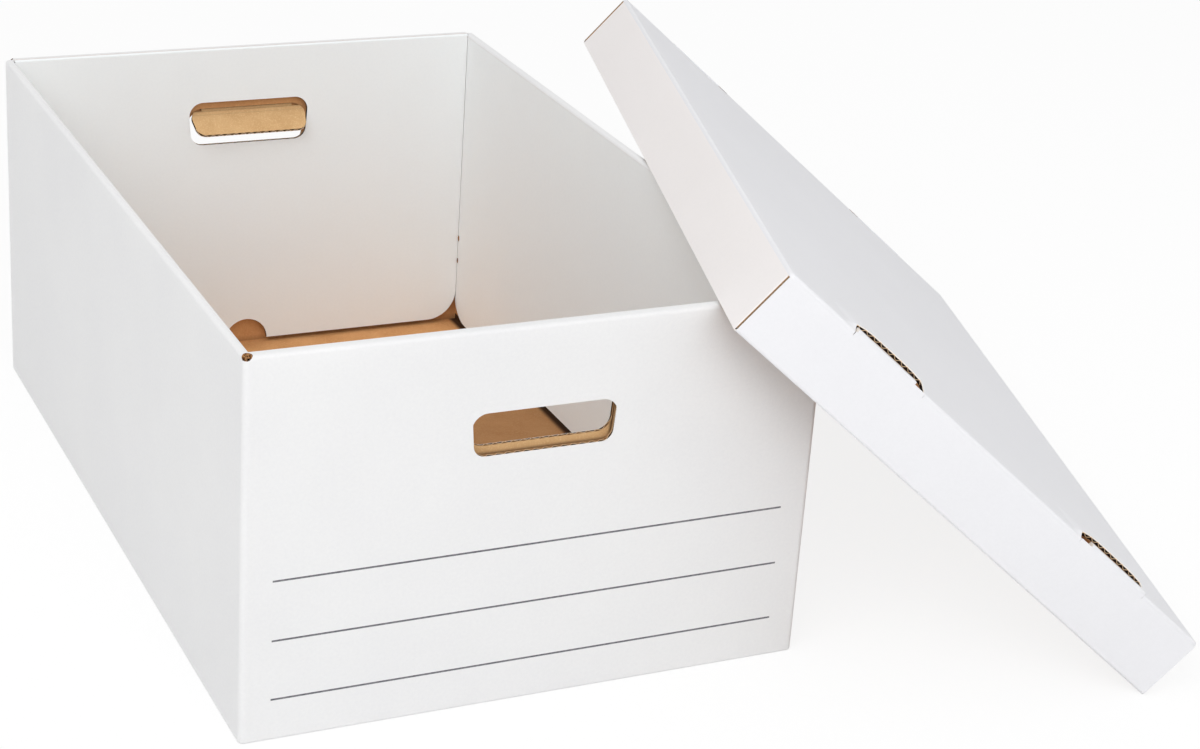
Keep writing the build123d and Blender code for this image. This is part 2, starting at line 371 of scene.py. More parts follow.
def makeKraft(name, across, paper="wall", shadedFolds=(), under=()):
    # unbleached kraft liner: brown, fibrous, matt, with lighter and darker fibres, and with painted
    # shade mixed in along folds and in gaps
    material, tree = newMaterial(name)
    plain, dark, fibre = [linear(code) for code in kraft["papers"][paper]]
    point = addNode(tree, "ShaderNodeTexCoord", {}, {}).outputs["Object"]
    speck = addNode(
        tree,
        "ShaderNodeTexNoise",
        {},
        {"Vector": point, "Scale": 1 / kraft["speckSize"], "Detail": 3.0, "Roughness": 0.7},
    ).outputs["Fac"]
    cloud = addNode(
        tree,
        "ShaderNodeTexNoise",
        {},
        {"Vector": point, "Scale": 1 / kraft["cloudSize"], "Detail": 4.0, "Roughness": 0.6},
    ).outputs["Fac"]
    low, high = kraft["spread"]
    spread = addNode(
        tree, "ShaderNodeMapRange", {}, {"Value": cloud, "From Min": low, "From Max": high}
    )
    ground = addNode(
        tree,
        "ShaderNodeMix",
        {"data_type": "RGBA"},
        {"Factor": spread.outputs[0], 6: dark, 7: plain},
    )
    low, high = kraft["fibres"]
    light = addNode(
        tree,
        "ShaderNodeMapRange",
        {},
        {"Value": speck, "From Min": low, "From Max": high, "To Max": kraft["fibreShare"]},
    )
    colour = addNode(
        tree,
        "ShaderNodeMix",
        {"data_type": "RGBA"},
        {"Factor": light.outputs[0], 6: ground.outputs[2], 7: fibre},
    ).outputs[2]
    # painted shade: each fold and gap mask mixes the colour toward the shadow brown
    masks = [foldShadeMask(tree, point, *foldShade) for foldShade in shadedFolds]
    masks += [shadeMask(tree, point, shade) for shade in under]
    for mask in masks:
        colour = addNode(
            tree,
            "ShaderNodeMix",
            {"data_type": "RGBA"},
            {"Factor": mask, 6: colour, 7: linear(kraft["shadow"])},
        ).outputs[2]
    height = linerHeight(tree, point, across, kraft["washboard"], speck, kraft["grain"])
    bump = addNode(tree, "ShaderNodeBump", {}, {"Strength": 1.0, "Distance": 1.0, "Height": height})
    finishPaper(
        tree,
        {
            "Base Color": colour,
            "Roughness": kraft["roughness"],
            "Normal": bump.outputs[0],
            "Specular IOR Level": kraft["specular"],
        },
    )
    return material


cutEdge = {
    "cream": "#F6EFE6",
    "tan": "#C99F72",
    "flute": "#D2B390",
    "hollow": "#1E110A",  # painted shade, darkest right behind the white liner
    "hollowFar": "#A27B53",  # painted shade, lighter on the brown side, where more light comes in
    "turnover": (0.6, 0.3),  # where the one hollow goes over into the other
    "swing": 0.36,  # shares of the board's thickness
    "flutePaper": 0.06,
    "ragged": 0.08,
    "rag": 900.0,  # torn fibres to the metre
    "ragDeep": 0.0003,
    "ragStrength": 0.6,
    "roughness": 0.9,
    "specular": 0.15,
}


def makeCutEdge(name, far, fluted, whiteLiner=0.12, brownLiner=0.12):
    # die cut board edge: two liners, the fluted medium between them, and the hollows in painted
    # shade;
    # the edges that have modelled flutes show only the liners and the hollows
    material, tree = newMaterial(name)
    edge = addNode(tree, "ShaderNodeUVMap", {"uv_map": "edge"}, {}).outputs[0]
    point = addNode(tree, "ShaderNodeTexCoord", {}, {}).outputs["Object"]
    parts = addNode(tree, "ShaderNodeSeparateXYZ", {}, {0: edge})
    ragged = addNode(
        tree,
        "ShaderNodeTexNoise",
        {},
        {"Vector": point, "Scale": cutEdge["rag"], "Detail": 2.0},
    ).outputs["Fac"]
    off = addNode(
        tree,
        "ShaderNodeMath",
        {"operation": "MULTIPLY_ADD"},
        {0: ragged, 1: cutEdge["ragged"], 2: -cutEdge["ragged"] / 2},
    )
    depth = addNode(
        tree, "ShaderNodeMath", {"operation": "ADD"}, {0: parts.outputs["Y"], 1: off.outputs[0]}
    ).outputs[0]
    colour = addNode(
        tree,
        "ShaderNodeMix",
        {"data_type": "RGBA"},
        {
            "Factor": beyond(tree, depth, *cutEdge["turnover"]),
            6: linear(cutEdge["hollow"]),
            7: linear(cutEdge[far]),
        },
    ).outputs[2]
    layers = []
    if fluted:
        turn = addNode(
            tree,
            "ShaderNodeMath",
            {"operation": "MULTIPLY"},
            {0: parts.outputs["X"], 1: 2 * math.pi},
        )
        wave = addNode(tree, "ShaderNodeMath", {"operation": "SINE"}, {0: turn.outputs[0]})
        wave = addNode(
            tree,
            "ShaderNodeMath",
            {"operation": "MULTIPLY_ADD"},
            {0: wave.outputs[0], 1: cutEdge["swing"], 2: 0.5},
        )
        onFlute = addNode(
            tree,
            "ShaderNodeMath",
            {"operation": "COMPARE"},
            {0: depth, 1: wave.outputs[0], 2: cutEdge["flutePaper"]},
        )
        layers.append((onFlute, "flute"))
    onKraft = addNode(
        tree, "ShaderNodeMath", {"operation": "GREATER_THAN"}, {0: depth, 1: 1 - brownLiner}
    )
    onWhite = addNode(
        tree, "ShaderNodeMath", {"operation": "LESS_THAN"}, {0: depth, 1: whiteLiner}
    )
    for mask, paper in layers + [(onKraft, "tan"), (onWhite, "cream")]:
        colour = addNode(
            tree,
            "ShaderNodeMix",
            {"data_type": "RGBA"},
            {"Factor": mask.outputs[0], 6: colour, 7: linear(cutEdge[paper])},
        ).outputs[2]
    bump = addNode(
        tree,
        "ShaderNodeBump",
        {},
        {
            "Strength": cutEdge["ragStrength"],
            "Distance": cutEdge["ragDeep"],
            "Height": ragged,
        },
    )
    finishPaper(
        tree,
        {
            "Base Color": colour,
            "Roughness": cutEdge["roughness"],
            "Normal": bump.outputs[0],
            "Specular IOR Level": cutEdge["specular"],
        },
    )
    return material


def makeFlutePaper(name):
    # the raw fluting paper, seen edge on: pale brown and matt
    material, tree = newMaterial(name)
    finishPaper(
        tree,
        {
            "Base Color": linear(cutEdge["flute"]),
            "Roughness": cutEdge["roughness"],
            "Specular IOR Level": cutEdge["specular"],
        },
    )
    return material


torn = {
    "bright": "#B98A5C",
    "deep": "#4A2E1B",
    "turnover": (0.5, 0.1),
    "size": 0.0016,
    "pit": 0.0005,
    "roughness": 0.95,
    "specular": 0.1,
}


def makeTorn(name):
    # crushed and torn board: brown pulp, darker in its pits as painted shade
    material, tree = newMaterial(name)
    point = addNode(tree, "ShaderNodeTexCoord", {}, {}).outputs["Object"]
    pits = addNode(
        tree,
        "ShaderNodeTexNoise",
        {},
        {"Vector": point, "Scale": 1 / torn["size"], "Detail": 3.0, "Roughness": 0.6},
    ).outputs["Fac"]
    colour = addNode(
        tree,
        "ShaderNodeMix",
        {"data_type": "RGBA"},
        {
            "Factor": beyond(tree, pits, *torn["turnover"]),
            6: linear(torn["bright"]),
            7: linear(torn["deep"]),
        },
    )
    bump = addNode(
        tree, "ShaderNodeBump", {}, {"Strength": 1.0, "Distance": torn["pit"], "Height": pits}
    )
    finishPaper(
        tree,
        {
            "Base Color": colour.outputs[2],
            "Roughness": torn["roughness"],
            "Normal": bump.outputs[0],
            "Specular IOR Level": torn["specular"],
        },
    )
    return material


ruledLines = {"heights": [0.111, 0.070, 0.029], "thick": 0.0013, "half": 0.174}

xAxis, yAxis, zAxis = Vector((1, 0, 0)), Vector((0, 1, 0)), Vector((0, 0, 1))
rimFold = [(zAxis, box["height"])]
lidEndFold = [(lidOut, lidCentre.z)]
lidTopFolds = [
    (lidAcross, lidCentre.x + lid["width"] / 2),
    (-lidAcross, lid["width"] / 2 - lidCentre.x),
    (lidAlong, lidCentre.y + lid["length"] / 2),
    (-lidAlong, lid["length"] / 2 - lidCentre.y),
]


def makeShade(way, reach, soft, strength, bothSides=False):
    return {
        "way": way,
        "reach": reach,
        "soft": soft,
        "strength": strength,
        "bothSides": bothSides,
    }


shades = {
    # painted shade: the outer walls' feet and the floor's sides darken where they go on into the
    # gap under the inner panels
    "sideFoot": makeShade(-zAxis, -0.0078, 0.0006, 0.95),
    "endFoot": makeShade(-zAxis, -0.0060, 0.0030, 0.3),
    "floorSides": makeShade(xAxis, 0.1854, 0.0026, 0.95, bothSides=True),
    # painted shade: less light falls on the floor away from the back end
    "floorFront": makeShade(-yAxis, -0.18, 0.04, 0.42),
    # painted shade: the inner front panel darkens low down and toward its right end, where it
    # stands a board's thickness behind its hole
    "behindLow": makeShade(-zAxis, -0.1758, 0.0014, 0.6),
    "behindEnd": makeShade(xAxis, 0.0472, 0.0012, 0.75),
}

flaps = {
    "front": {"side": -1, "angle": math.radians(90)},
    "back": {"side": 1, "angle": math.radians(50)},
}
flapFold = {"y": 0.3045, "z": 0.2074, "roll": 0.0017}
# painted shade bands along the flap's fold: each one's distance from the fold, its half width and
# its strength
flapFoldShades = [(-0.0005, 0.0030, 0.24), (0.0022, 0.0009, 0.3), (0.0056, 0.0006, 0.14)]


def flapCrease(end):
    return Vector((0, flaps[end]["side"] * flapFold["y"], flapFold["z"]))


def flapWay(end, vector):
    # a direction on a closed flap, turned to where the flap has been pushed
    flap = flaps[end]
    return Matrix.Rotation(-flap["side"] * flap["angle"], 3, "X") @ vector


def foldShadeLines(end):
    # painted shade bands, turned onto the flap where it has been pushed
    down = flapWay(end, -zAxis)
    reach = down.dot(flapCrease(end))
    return [(down, reach + away, half, strength) for away, half, strength in flapFoldShades]


def kraftUnder(name, across, paper, *where):
    # kraft darkened by the listed painted shades
    return makeKraft("kraftLiner." + name, across, paper, under=[shades[key] for key in where])


def kraftFlap(end):
    # the flap's kraft, darkened along its fold by painted shade
    return makeKraft("kraftLiner." + end + "Flap", xAxis, "flap", shadedFolds=foldShadeLines(end))


paint = {
    "frontWhite": makeWhite("whiteTopliner.front", xAxis, rimFold, ruled=ruledLines),
    "endWhite": makeWhite("whiteTopliner.ends", xAxis, rimFold),
    "sideWhite": makeWhite("whiteTopliner.sides", yAxis, rimFold),
    "lidWhite": makeWhite("whiteTopliner.lidTop", lidAcross, lidTopFolds, "lid"),
    "lidEndWhite": makeWhite("whiteTopliner.lidEnds", lidAcross, lidEndFold, "lid"),
    "lidSideWhite": makeWhite("whiteTopliner.lidSides", lidOut, lidEndFold, "lidSide"),
    # painted light: the inner panels take the brighter inside copy of the white
    "insideEndWhite": makeWhite("whiteTopliner.insideEnds", xAxis, [], "inside"),
    "insideSideWhite": makeWhite("whiteTopliner.insideSides", yAxis, [], "inside"),
    # painted shade at the walls' feet, behind the front hole and on the floor
    "endKraft": kraftUnder("ends", xAxis, "wall", "endFoot"),
    "holeKraft": kraftUnder("behindHole", xAxis, "flap", "behindLow", "behindEnd"),
    "sideKraft": kraftUnder("sides", yAxis, "wall", "sideFoot"),
    "floorKraft": kraftUnder("floor", xAxis, "floor", "floorFront", "floorSides"),
    "frontFlapKraft": kraftFlap("front"),
    "backFlapKraft": kraftFlap("back"),
    "lidKraft": makeKraft("kraftLiner.lid", lidAcross),
    "lidSideKraft": makeKraft("kraftLiner.lidSides", lidOut),
    # painted shade in the hollows: the die cut and hole edges lighten toward their brown side, the
    # back hole's and the slots' edges stay dark across
    "cut": makeCutEdge("corrugatedEdge.dieCut", "hollowFar", True),
    "holeCut": makeCutEdge("corrugatedEdge.holes", "hollowFar", False),
    "deepCut": makeCutEdge("corrugatedEdge.backHole", "hollow", False, 0.05, 0.10),
    "slotCut": makeCutEdge("corrugatedEdge.slots", "hollow", False, 0.22, 0.05),
    "flute": makeFlutePaper("flutedMedium"),
    "torn": makeTorn("corrugatedEdge.torn"),
}
print("materials made:", len(paint))

# board pieces

pieces = {}
looksAt = 0.3  # how far a normal has to lean to one side to count as facing it
mostly = 0.5  # and how far to count as mostly along it
endOn = 0.7
sharpFrom = math.radians(28)
weld = 2e-6


def sheetRule(white, folded=None, stop=None, cutAt=None):
    # names each face of a panel by the way it looks: 0 white, 1 brown, 2 cut, 3 torn
    def rule(middle, normal):
        if stop and stop(middle, normal):
            return 3
        if cutAt and cutAt(middle, normal):
            return 2
        facing = normal.dot(white)
        if facing > looksAt:
            return 0
        if facing < -looksAt:
            return 1
        return 0 if folded and folded(middle, normal) else 2

    return rule


def dressSheet(node, body, rule, across, paints, settle=None):
    # a merged copy of one panel, with its white, brown and cut faces told apart
    mesh = nodes[node].data.copy()
    mesh.name = node + ".board"
    mesh.materials.clear()
    for name in paints:
        mesh.materials.append(paint[name])
    work = bmesh.new()
    work.from_mesh(mesh)
    bmesh.ops.remove_doubles(work, verts=work.verts, dist=weld)
    work.normal_update()
    for face in work.faces:
        face.material_index = rule(face.calc_center_median(), face.normal)
        face.smooth = True
    if settle:
        for corner in work.verts:
            settle(corner)
        work.normal_update()
    for edge in work.edges:
        if len(edge.link_faces) == 2:
            edge.smooth = edge.calc_face_angle(0) < sharpFrom
    # across the board's thickness the map runs from 0 at the white liner to 1 at the brown one
    layer = work.loops.layers.uv.new("edge")
    for face in work.faces:
        for loop in face.loops:
            near = {f.material_index for f in loop.vert.link_faces}
            depth = 0.5 if (0 in near) == (1 in near) else (0 if 0 in near else 1)
            loop[layer].uv = (loop.vert.co.dot(across) / board["pitch"], depth)
    work.to_mesh(mesh)
    work.free()
    piece = bpy.data.objects.new(node + "_board", mesh)
    scene.collection.objects.link(piece)
    normals = piece.modifiers.new("flatFacesFirst", "WEIGHTED_NORMAL")
    normals.keep_sharp = True
    normals.weight = 100
    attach(piece, body)
    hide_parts(node)
    pieces[node] = piece


def brownAt(rule, there):
    # as the rule says, but for the faces that are bare brown
    return lambda middle, normal: 1 if there(middle, normal) else rule(middle, normal)


relief = {"centre": (0.1912, 0.3032, 0.2593), "radius": 0.0034}  # stop hole at a top corner
innerTop = 0.2555  # the inner end panels' hinge rolls begin here


def nearRelief(middle, normal):
    spot = Vector((abs(middle.x), abs(middle.y), middle.z))
    return (spot - Vector(relief["centre"])).length < relief["radius"]


def allRound(middle, normal):
    return True


def lowFold(middle, normal):
    return middle.z < board["thick"]


def onHinge(middle, normal):
    return middle.z > innerTop


def lidPoint(middle):
    # a place in the lid's own axes, from the middle of its top
    return lidTurn @ middle - lidCentre


def tabRule(rule):
    # the lock tabs show the white liner all round, but for their cut ends
    def withTabs(middle, normal):
        if lidPoint(middle).z > -board["thick"]:
            return 2 if abs(normal.dot(lidAcross)) > mostly else 0
        return rule(middle, normal)

    return withTabs


slots = {
    "centre": 0.110,  # from the lid's middle, across it
    "half": 0.0326,
    "width": 0.0065,
    "near": 0.0003,
    "cutFrom": 0.0028,  # the cut faces lie this far from the lid's end
    "cutTo": 0.0075,
    "cutFacing": 0.25,
}


def lidSlotFace(middle, normal):
    # the cut that each lip was lifted from
    spot = lidPoint(middle)
    across = abs(abs(spot.x) - slots["centre"]) < slots["half"]
    along = slots["cutFrom"] < lid["length"] / 2 - abs(spot.y) < slots["cutTo"]
    upright = abs(normal.dot(lidOut)) < looksAt
    return across and along and upright and abs(normal.dot(lidAlong)) > slots["cutFacing"]


def setHeight(corner, height):
    corner.co += lidOut * (height - lidPoint(corner.co).z)


lip = {"share": {"front": 1.15, "back": 0.0}, "from": 0.0025, "to": 0.0562, "half": 0.0405}


def settleLip(corner):
    # the front lips stand a little higher, and the back ones have closed down flat again
    spot = lidPoint(corner.co)
    behind = lip["from"] < lid["length"] / 2 - abs(spot.y) < lip["to"]
    if behind and abs(abs(spot.x) - slots["centre"]) < lip["half"]:
        upper = any(
            face.material_index == 0 and face.normal.dot(lidOut) > looksAt
            for face in corner.link_faces
        )
        foot = 0 if upper else -board["thick"]
        share = lip["share"]["back" if spot.y > 0 else "front"]
        setHeight(corner, foot + share * (spot.z - foot))


tab = {"foot": -0.0028, "backTop": -0.0004, "half": 0.0322, "near": 0.002, "short": 0.0011}


def settleTab(corner):
    # the back tabs stay under the top sheet, and the front ones stop short of their slots' ends
    spot = lidPoint(corner.co)
    if spot.z < tab["foot"]:
        return
    lefts = [hand * slots["centre"] - tab["half"] for hand in (-1, 1)]
    if spot.y > 0:
        setHeight(corner, min(spot.z, tab["backTop"]))
    elif min(abs(spot.x - left) for left in lefts) < tab["near"]:
        corner.co += lidAcross * tab["short"]


def dressFlap(end, out):
    crease = flapCrease(end)

    def onRoll(middle, normal):
        away = middle - crease
        return math.hypot(away.y, away.z) < flapFold["roll"]

    def rollSide(middle, normal):
        return onRoll(middle, normal) and abs(normal.x) < mostly

    def rollEnd(middle, normal):
        return onRoll(middle, normal) and abs(normal.x) >= mostly

    dressSheet(
        end + "_handle_flap",
        end + "_flap",
        brownAt(sheetRule(flapWay(end, out), rollSide), rollEnd),
        xAxis,
        ["endWhite", end + "FlapKraft", "slotCut"],
    )


endPaints = {
    "front": {"outer": "frontWhite", "inner": ["insideEndWhite", "holeKraft", "holeCut"]},
    "back": {"outer": "endWhite", "inner": ["insideEndWhite", "endKraft", "deepCut"]},
}
for end, sign in (("front", -1), ("back", 1)):
    out = yAxis * sign
    dressSheet(
        end + "_end_outer",
        "box",
        sheetRule(out, lowFold, nearRelief),
        xAxis,
        [endPaints[end]["outer"], "endKraft", "holeCut", "torn"],
    )
    dressSheet(
        end + "_end_rim",
        "box",
        sheetRule(zAxis, allRound, nearRelief),
        xAxis,
        ["endWhite", "endKraft", "cut", "torn"],
    )
    dressSheet(
        end + "_end_inner",
        "back_inner_panel" if end == "back" else "box",
        sheetRule(-out, onHinge),
        xAxis,
        endPaints[end]["inner"],
    )
    dressFlap(end, out)
    for hand in ("left", "right"):
        dressSheet(
            end + "_" + hand + "_corner_flap",
            "box",
            sheetRule(out),
            xAxis,
            ["insideEndWhite", "endKraft", "cut"],
        )
for hand, sign in (("left", -1), ("right", 1)):
    out = xAxis * sign
    outside = ["sideWhite", "sideKraft", "cut", "torn"]
    rule = sheetRule(out, lowFold, nearRelief)
    dressSheet(hand + "_side_outer", "box", rule, yAxis, outside)
    rule = sheetRule(zAxis, allRound, nearRelief)
    dressSheet(hand + "_side_rim", "box", rule, yAxis, outside)
    inside = ["insideSideWhite", "sideKraft", "cut"]
    dressSheet(hand + "_side_inner", "box", sheetRule(-out), yAxis, inside)
dressSheet(
    "floor_panel",
    "box",
    sheetRule(-zAxis, allRound),
    xAxis,
    ["endWhite", "floorKraft", "cut"],
)
dressSheet(
    "lid_top",
    "lid",
    sheetRule(lidOut, allRound, cutAt=lidSlotFace),
    lidAcross,
    ["lidWhite", "lidKraft", "slotCut"],
    settle=settleLip,
)


def onLidEnd(middle, normal):
    return abs(normal.dot(lidAlong)) > endOn


def onLidRoll(middle, normal):
    return abs(normal.dot(lidAcross)) < mostly


for hand, sign in (("near", -1), ("far", 1)):
    paints = ["lidSideWhite", "lidSideKraft", "cut"]
    rule = sheetRule(lidAcross * sign, onLidEnd)
    dressSheet("lid_" + hand + "_skirt", "lid", rule, lidOut, paints)
    for end, way in (("front", -1), ("back", 1)):
        name = "lid_" + hand + "_" + end + "_corner_flap"
        dressSheet(name, "lid", sheetRule(lidAlong * way), lidOut, paints)
for end, way in (("front", -1), ("back", 1)):
    out = lidAlong * way
    name = "lid_" + end + "_skirt_"
    paints = ["lidEndWhite", "lidKraft", "cut"]
    dressSheet(name + "outer", "lid", sheetRule(out), lidAcross, paints)
    dressSheet(name + "fold", "lid", sheetRule(-lidOut, onLidRoll), lidAcross, paints)
    rule = tabRule(sheetRule(-out))
    dressSheet(name + "inner", "lid", rule, lidAcross, paints, settle=settleTab)
print("board pieces dressed:", len(pieces))

# flutes in the open cut edges

# the real paper is 0.15 mm thick, too thin to show, so it is drawn thicker
flute = {
    "swing": 0.0009,
    "papers": {"slot": 0.00022, "flap": 0.0003, "hole": 0.0003},  # half the drawn thickness
    "step": 0.0004,
    "proud": 0.0001,
    "flapFrom": 0.015,  # only a flap's free edge has them
}


def fluteTree():
    # a sine wave of fluting paper along each edge line
    tree = bpy.data.node_groups.new("fluteRibbon", "GeometryNodeTree")
    face = tree.interface
    face.new_socket("Lines", in_out="INPUT", socket_type="NodeSocketGeometry")
    for name in ("Along", "Through"):
        face.new_socket(name, in_out="INPUT", socket_type="NodeSocketVector")
    for name in ("Pitch", "Swing", "Paper", "Step"):
        face.new_socket(name, in_out="INPUT", socket_type="NodeSocketFloat")
    face.new_socket("Paint", in_out="INPUT", socket_type="NodeSocketMaterial")
    face.new_socket("Ribbon", in_out="OUTPUT", socket_type="NodeSocketGeometry")
    given = addNode(tree, "NodeGroupInput", {}, {}).outputs
    curve = addNode(tree, "GeometryNodeMeshToCurve", {}, {"Mesh": given["Lines"]})
    curve = addNode(
        tree,
        "GeometryNodeResampleCurve",
        {"mode": "LENGTH"},
        {"Curve": curve.outputs[0], "Length": given["Step"]},
    )
    place = addNode(tree, "GeometryNodeInputPosition", {}, {})
    run = addNode(
        tree,
        "ShaderNodeVectorMath",
        {"operation": "DOT_PRODUCT"},
        {0: place.outputs[0], 1: given["Along"]},
    )
    turns = addNode(
        tree,
        "ShaderNodeMath",
        {"operation": "DIVIDE"},
        {0: run.outputs["Value"], 1: given["Pitch"]},
    )
    turns = addNode(
        tree, "ShaderNodeMath", {"operation": "MULTIPLY"}, {0: turns.outputs[0], 1: 2 * math.pi}
    )
    wave = addNode(tree, "ShaderNodeMath", {"operation": "SINE"}, {0: turns.outputs[0]})
    reach = addNode(
        tree,
        "ShaderNodeMath",
        {"operation": "MULTIPLY"},
        {0: wave.outputs[0], 1: given["Swing"]},
    )
    offset = addNode(
        tree,
        "ShaderNodeVectorMath",
        {"operation": "SCALE"},
        {0: given["Through"], "Scale": reach.outputs[0]},
    )
    curve = addNode(
        tree,
        "GeometryNodeSetPosition",
        {},
        {"Geometry": curve.outputs[0], "Offset": offset.outputs[0]},
    )
    ring = addNode(
        tree,
        "GeometryNodeCurvePrimitiveCircle",
        {"mode": "RADIUS"},
        {"Resolution": 6, "Radius": given["Paper"]},
    )
    ribbon = addNode(
        tree,
        "GeometryNodeCurveToMesh",
        {},
        {"Curve": curve.outputs[0], "Profile Curve": ring.outputs[0], "Fill Caps": True},
    )
    ribbon = addNode(
        tree,
        "GeometryNodeSetMaterial",
        {},
        {"Geometry": ribbon.outputs[0], "Material": given["Paint"]},
    )
    ribbon = addNode(tree, "GeometryNodeRealizeInstances", {}, {"Geometry": ribbon.outputs[0]})
    addNode(tree, "NodeGroupOutput", {}, {"Ribbon": ribbon.outputs[0]})
    return tree


def edgeLine(piece, wanted, order, shift):
    # the corner between the white face and a cut face, as a run of points
    mesh = piece.data
    near = {}
    for face in mesh.polygons:
        for index in face.vertices:
            near.setdefault(index, set()).add(face.material_index)
    corner = [i for i, kinds in near.items() if {0, 2} <= kinds and wanted(mesh.vertices[i].co)]
    points = sorted((mesh.vertices[i].co.copy() for i in corner), key=order)
    return [p + shift(p) for p in points]


def makeFlutes(name, body, lines, paper, along, through):
    points, pairs = [], []
    for line in lines:
        first = len(points)
        points += line
        pairs += [(i, i + 1) for i in range(first, len(points) - 1)]
    mesh = bpy.data.meshes.new(name)
    mesh.from_pydata(points, pairs, [])
    piece = bpy.data.objects.new(name, mesh)
    scene.collection.objects.link(piece)
    modifier = piece.modifiers.new("flutes", "NODES")
    modifier.node_group = flutes
    values = {
        "Along": along,
        "Through": through,
        "Pitch": board["pitch"],
        "Swing": flute["swing"],
        "Paper": flute["papers"][paper],
        "Step": flute["step"],
        "Paint": paint["flute"],
    }
    for item in flutes.interface.items_tree:
        if item.in_out == "INPUT" and item.name in values:
            modifier[item.identifier] = values[item.name]
    bpy.context.view_layer.update()
    graph = bpy.context.evaluated_depsgraph_get()
    made = bpy.data.meshes.new_from_object(piece.evaluated_get(graph))
    made.name = name
    piece.modifiers.clear()
    piece.data = made
    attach(piece, body)
    pieces[name] = piece


handle = {"middle": 0.195, "half": 0.052, "low": 0.17, "high": 0.2, "near": 0.0002}
# where each wall layer's white face lies, and which way its flutes lie from there
outerFace = {"y": box["depth"] / 2, "into": -1}
innerFace = {"y": box["depth"] / 2 - box["endWall"], "into": 1}


def holeLine(name, face):
    # round the lower half of a handle hole
    centre = Vector((0, 0, handle["middle"]))

    def wanted(spot):
        onFace = abs(abs(spot.y) - face["y"]) < handle["near"]
        return onFace and abs(spot.x) < handle["half"] and handle["low"] < spot.z < handle["high"]

    def shift(spot):
        inwards = (centre - Vector((spot.x, 0, spot.z))).normalized()
        deep = yAxis * face["into"] * (1 if spot.y > 0 else -1) * board["thick"] / 2
        return deep - inwards * flute["proud"]

    return edgeLine(pieces[name], wanted, lambda p: math.atan2(p.x, centre.z - p.z), shift)


def slotLines():
    lines = []
    for end, hand in itertools.product((-1, 1), (-1, 1)):

        def wanted(spot, end=end, hand=hand):
            local = lidPoint(spot)
            fits = abs(hand * local.x - slots["centre"]) < slots["half"]
            return fits and abs(lid["length"] / 2 - end * local.y - slots["width"]) < slots["near"]

        def shift(spot, end=end):
            return lidAlong * end * flute["proud"] - lidOut * board["thick"] / 2

        lines.append(edgeLine(pieces["lid_top"], wanted, lambda p: lidPoint(p).x, shift))
    return lines


def flapLine(end):
    fold = flapCrease(end)
    down, inwards = flapWay(end, -zAxis), flapWay(end, yAxis * -flaps[end]["side"])

    def wanted(spot):
        return down.dot(spot - fold) > flute["flapFrom"]

    def shift(spot):
        return inwards * board["thick"] / 2 + down * flute["proud"]

    return edgeLine(pieces[end + "_handle_flap"], wanted, lambda p: p.x, shift)


flutes = fluteTree()
slotEdges = slotLines()
holes = [
    holeLine("front_end_outer", outerFace),
    holeLine("back_end_outer", outerFace),
    holeLine("front_end_inner", innerFace),
]
innerHole = holeLine("back_end_inner", innerFace)
makeFlutes("boxFlutes", "box", holes, "hole", xAxis, yAxis)
makeFlutes("panelFlutes", "back_inner_panel", [innerHole], "slot", xAxis, yAxis)
makeFlutes("lidFlutes", "lid", slotEdges, "slot", lidAcross, lidOut)
for end in flaps:
    through = flapWay(end, yAxis)
    makeFlutes(end + "Flutes", end + "_flap", [flapLine(end)], "flap", xAxis, through)
print("flute points:", [len(line) for line in holes + [innerHole] + slotEdges])

# thin paper on top of the board


def addSlab(work, near, far):
    # a closed slab between two outlines
    rings = [[work.verts.new(point) for point in ring] for ring in (near, far)]
    for ring in rings:
        work.faces.new(ring)
    for i in range(len(near)):
        j = (i + 1) % len(near)
        work.faces.new((rings[0][i], rings[0][j], rings[1][j], rings[1][i]))


def addTrim(name, body, work, paints, brown=None):
    # one piece from all the slabs; brown tells the faces that take the second paint
    bmesh.ops.recalc_face_normals(work, faces=work.faces)
    for face in work.faces:
        face.material_index = 1 if brown and brown(face) else 0
    mesh = bpy.data.meshes.new(name)
    work.to_mesh(mesh)
    work.free()
    for paper in paints:
        mesh.materials.append(paint[paper])
    piece = bpy.data.objects.new(name, mesh)
    scene.collection.objects.link(piece)
    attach(piece, body)
    pieces[name] = piece


cover = {
    "low": 0.2052,  # where it ends above the hole
    "flat": 0.0385,  # half the straight part of that edge
    "radius": 0.0106,  # and its round ends
    "arc": (20, 90),
    "corner": [(0.041, 0.2105), (0.0505, 0.207), (0.0505, 0.1982)],
    "off": 0.00002,
    "thick": 0.00008,
}
arcSteps = 8


def makeCover(end):
    # the white liner runs on over the fold and round the hole's upper corners
    side = flaps[end]["side"]
    edge = list(cover["corner"])
    start, stop = cover["arc"]
    for i in range(arcSteps + 1):
        turn = math.radians(start + (stop - start) * i / arcSteps)
        x = cover["flat"] + cover["radius"] * math.cos(turn)
        edge.append((x, cover["low"] - cover["radius"] * (1 - math.sin(turn))))
    outline = edge + [(-x, z) for x, z in reversed(edge)]
    near = box["depth"] / 2 + cover["off"]
    depths = (near, near + cover["thick"])
    work = bmesh.new()
    addSlab(work, *([(x, side * depth, z) for x, z in outline] for depth in depths))
    paints = ["endWhite", "endKraft"]
    addTrim(end + "FoldPaper", "box", work, paints, lambda face: face.normal.y * side < -mostly)


for end in flaps:
    makeCover(end)

tears = {
    "x": 0.1879,
    "sunk": 0.0002,
    "thick": 0.0003,
    "outline": [(-0.6, -1), (0.5, -0.8), (1, 0.1), (0.2, 1), (-0.5, 0.9), (-1, -0.2)],
    "spots": [  # place along and up the wall, half width and half height
        (0.2958, 0.0800, 0.0011, 0.0024),
        (0.2962, 0.0596, 0.0009, 0.0022),
    ],
}


